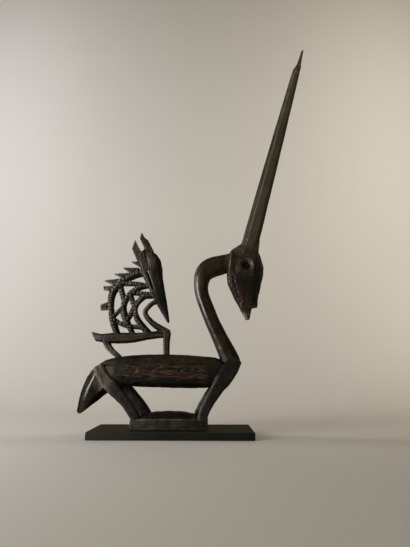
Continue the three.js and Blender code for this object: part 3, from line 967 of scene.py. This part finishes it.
def patinatedWood():
    p = patina
    material = bpy.data.materials.new("patinatedWood")
    material.use_nodes = True
    tree = material.node_tree
    shader = tree.nodes["Principled BSDF"]
    place = addNode(tree, "ShaderNodeTexCoord", out="Object")
    proudness, worn, dustAndHighlight, sootAndShade, polish, lying = (
        addNode(tree, "ShaderNodeAttribute", out="Fac", attribute_name=name)
        for name in ("proudness", "worn", "dustAndHighlight", "sootAndShade", "polish", "lying")
    )
    scales = [1 / (p[size] * mm) for size in ("cloudSize", "stainSize", "fleckSize")]
    cloud, stain, fleck = (
        addNode(tree, "ShaderNodeTexNoise", {"Vector": place, "Scale": scale, "Detail": 6.0})
        for scale in scales
    )
    stretch = p["grainStretch"]
    upright = addNode(tree, "ShaderNodeMapping", {"Vector": place, "Scale": (1, 1, stretch)})
    level = addNode(tree, "ShaderNodeMapping", {"Vector": place, "Scale": (stretch, 1, 1)})
    scale = 1 / (p["grainWidth"] * mm)
    fibres, lyingFibres = (
        addNode(tree, "ShaderNodeTexNoise", {"Vector": way, "Scale": scale, "Detail": 4.0})
        for way in (upright, level)
    )
    grain = addNode(tree, "ShaderNodeMix", {0: lying, 2: fibres, 3: lyingFibres})

    # hands wear the black off in streaks along the grain, with red where the oil has soaked in,
    # dust clings to the rough parts and the high ones, which also get painted highlight, and soot
    # and painted shade darken the cuts
    tone = addNode(tree, "ShaderNodeMapRange", {0: cloud, 1: 0.45, 2: 0.61})
    green = addNode(tree, "ShaderNodeMapRange", {0: stain, 1: 0.5, 2: 0.66, 4: 0.8})
    patches = addNode(tree, "ShaderNodeMath", {0: fleck, 1: grain}, operation="ADD")
    patches = addNode(tree, "ShaderNodeMapRange", {0: patches, 1: 0.92, 2: 1.1})
    redness = addNode(tree, "ShaderNodeMath", {0: worn, 1: 0.9}, operation="MULTIPLY")
    bare = addNode(tree, "ShaderNodeMath", {0: worn, 1: patches}, operation="MULTIPLY")
    spread = addNode(tree, "ShaderNodeMath", {0: cloud, 1: grain}, operation="ADD")
    spread = addNode(
        tree, "ShaderNodeMapRange", {0: spread, 1: 0.75, 2: 1.2, 3: 0.15, 4: 0.75},
    )
    dustAndHighlightShare = addNode(tree, "ShaderNodeMath", {0: dustAndHighlight, 1: spread}, operation="MULTIPLY")
    sootAndShadeLevel = addNode(tree, "ShaderNodeMath", {0: sootAndShade, 1: 0.92}, operation="MULTIPLY")
    clear = addNode(tree, "ShaderNodeMath", {0: sootAndShadeLevel, 1: -0.9, 2: 1}, operation="MULTIPLY_ADD")
    crestsDustAndHighlight = addNode(tree, "ShaderNodeMapRange", {0: proudness, 1: 0.12, 2: 0.8, 4: 0.88})
    pale = addNode(tree, "ShaderNodeMath", {0: dustAndHighlight, 1: 0.9, 2: 0.12}, operation="MULTIPLY_ADD")
    crestsDustAndHighlight = addNode(tree, "ShaderNodeMath", {0: crestsDustAndHighlight, 1: pale}, operation="MULTIPLY")
    crestsDustAndHighlight = addNode(tree, "ShaderNodeMath", {0: crestsDustAndHighlight, 1: clear}, operation="MULTIPLY")
    # soot and painted shade in the hollows, where the surface sinks below its smoothed copy
    cuts = addNode(tree, "ShaderNodeMapRange", {0: proudness, 1: 0.0, 2: -0.35, 4: 0.96})
    streaks = addNode(tree, "ShaderNodeMapRange", {0: grain, 1: 0.5, 2: 0.4, 4: 0.75})
    dull = addNode(tree, "ShaderNodeMath", {0: polish, 1: -0.75, 2: 1}, operation="MULTIPLY_ADD")
    streaks = addNode(tree, "ShaderNodeMath", {0: streaks, 1: dull}, operation="MULTIPLY")
    layers = (
        (tone, "brown"), (green, "olive"), (redness, "rust"), (bare, "worn"), (dustAndHighlightShare, "dustAndHighlight"),
        (sootAndShadeLevel, "sootAndShade"), (crestsDustAndHighlight, "crest"), (cuts, "sootAndShade"), (streaks, "sootAndShade"),
    )
    tree.links.new(paintLayers(tree, p, "black", layers), shader.inputs["Base Color"])

    gloss = addNode(tree, "ShaderNodeMapRange", {0: polish, 3: p["matt"], 4: p["glossy"]})
    gloss = addNode(tree, "ShaderNodeMath", {0: gloss, 1: -0.12}, operation="ADD")
    gloss = addNode(
        tree, "ShaderNodeMath", {0: fleck, 1: 0.24, 2: gloss}, operation="MULTIPLY_ADD",
    )
    tree.links.new(gloss, shader.inputs["Roughness"])
    shader.inputs["Specular IOR Level"].default_value = p["sheen"]

    scale = 1 / (p["poreSize"] * mm)
    pores = addNode(tree, "ShaderNodeTexVoronoi", {"Vector": upright, "Scale": scale})
    height = addNode(tree, "ShaderNodeMix", {0: 0.3, 2: grain, 3: pores})
    rough = addNode(tree, "ShaderNodeMapRange", {0: polish, 3: 0.55, 4: 0.05})
    depth = p["poreDepth"] * mm
    bump = addNode(tree, "ShaderNodeBump", {"Height": height, "Strength": rough, "Distance": depth})
    tree.links.new(bump, shader.inputs["Normal"])
    return material


# Stained board: planed softwood under a thin greenish black stain, so the grain still shows a
# little and the arrises are rubbed pale
board = {
    "stain": "#0e0f08",
    "pale": "#2c2c22",
    "rubbed": "#4a4b40",
    "size": (306.5, 107, 14.4),  # mm
    "grainWidth": 2.2,
    "grainStretch": 0.04,
    "grainDepth": 0.3,
    "stainSize": 45,
    "rubWidths": (2.4, 0.6),     # from the arris, where the rubbing starts and is full
    "rubHeight": 1.6,
    "roughness": 0.5,
    "sheen": 0.3,
}


def stainedBoard():
    b = board
    material = bpy.data.materials.new("stainedBoard")
    material.use_nodes = True
    tree = material.node_tree
    shader = tree.nodes["Principled BSDF"]
    place = addNode(tree, "ShaderNodeTexCoord", out="Object")
    stretch = (b["grainStretch"], 1, 1)
    along = addNode(tree, "ShaderNodeMapping", {"Vector": place, "Scale": stretch})
    links = {"Vector": along, "Scale": 1 / (b["grainWidth"] * mm), "Detail": 5.0}
    grain = addNode(tree, "ShaderNodeTexNoise", links)
    links = {"Vector": place, "Scale": 1 / (b["stainSize"] * mm), "Detail": 6.0}
    cloud = addNode(tree, "ShaderNodeTexNoise", links)
    tone = addNode(tree, "ShaderNodeMix", {0: 0.6, 2: grain, 3: cloud})
    tone = addNode(tree, "ShaderNodeMapRange", {0: tone, 1: 0.38, 2: 0.64, 4: 0.45})
    # pale towards the left end as painted light from that side, and on the top's long edges, where
    # a duster rubs
    parts = addNode(tree, "ShaderNodeSeparateXYZ", {0: place}, out="X").node.outputs
    length, depth, height = (size * mm for size in b["size"])
    paintedLightLeftEnd = addNode(tree, "ShaderNodeMapRange", {0: parts["X"], 1: 0.0, 2: -length / 2, 4: 0.9})
    outward = addNode(tree, "ShaderNodeMath", {0: parts["Y"]}, operation="ABSOLUTE")
    start, full = (depth / 2 - width * mm for width in b["rubWidths"])
    edge = addNode(tree, "ShaderNodeMapRange", {0: outward, 1: start, 2: full})
    rubFoot = height - b["rubHeight"] * mm
    high = addNode(tree, "ShaderNodeMapRange", {0: parts["Z"], 1: rubFoot, 2: height})
    rub = addNode(tree, "ShaderNodeMath", {0: edge, 1: high}, operation="MULTIPLY")
    rub = addNode(tree, "ShaderNodeMath", {0: rub, 1: grain}, operation="MULTIPLY")
    layers = ((tone, "pale"), (paintedLightLeftEnd, "pale"), (rub, "rubbed"))
    tree.links.new(paintLayers(tree, b, "stain", layers), shader.inputs["Base Color"])
    shader.inputs["Roughness"].default_value = b["roughness"]
    shader.inputs["Specular IOR Level"].default_value = b["sheen"]
    links = {"Height": grain, "Strength": 0.35, "Distance": b["grainDepth"] * mm}
    tree.links.new(addNode(tree, "ShaderNodeBump", links), shader.inputs["Normal"])
    return material


addCamera()
addStudio()
print("camera and studio ready")
wood = patinatedWood()
whole, maneShades = makeCarving()
addFinishMaps(whole, maneShades)
print("finish maps ready")

# Parted into pieces that are small enough to export whole: a place in mm and the kept side
up, down, forward, back = (0, 0, 1), (0, 0, -1), (1, 0, 0), (-1, 0, 0)
hornPart, rearPart, frontPart = (0, 0, 400), (-75, 0, 0), (20, 0, 0)
fawnPart, fawnFeet = (levels["fawnFront"], 0, 0), (0, 0, levels["fawnFeet"])
nape, napeWay = (104, 0, 330), Vector((0.98, 0, 0.19))
littleNape, littleNapeWay = (-45, 0, 263), Vector((0.91, 0, 0.42))
pieces = {
    "nearHorn": [(hornPart, up), (fawnPart, forward), ((0, 0, 0), (0, -1, 0))],
    "farHorn": [(hornPart, up), (fawnPart, forward), ((0, 0, 0), (0, 1, 0))],
    "head": [(nape, napeWay), (hornPart, down)],
    "neck": [(fawnFeet, up), (fawnPart, forward), (nape, -napeWay)],
    "littleHead": [(fawnFeet, up), (fawnPart, back), (littleNape, littleNapeWay)],
    "littleMane": [(fawnFeet, up), (littleNape, -littleNapeWay)],
    "haunches": [(fawnFeet, down), (rearPart, back)],
    "middleBody": [(fawnFeet, down), (rearPart, forward), (frontPart, back)],
    "frontBody": [(fawnFeet, down), (frontPart, forward)],
}
for name, planes in pieces.items():
    part = cutToBox(whole, name, planes)
    part.data.materials.append(wood)
    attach(part, "root")
    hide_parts("headdress")
    part.data.calc_loop_triangles()
    print(name, len(part.data.loop_triangles), "triangles")
bpy.data.objects.remove(whole)

plinth = frame["nodes"]["plinth"]
plinth.data.materials.clear()
plinth.data.materials.append(stainedBoard())
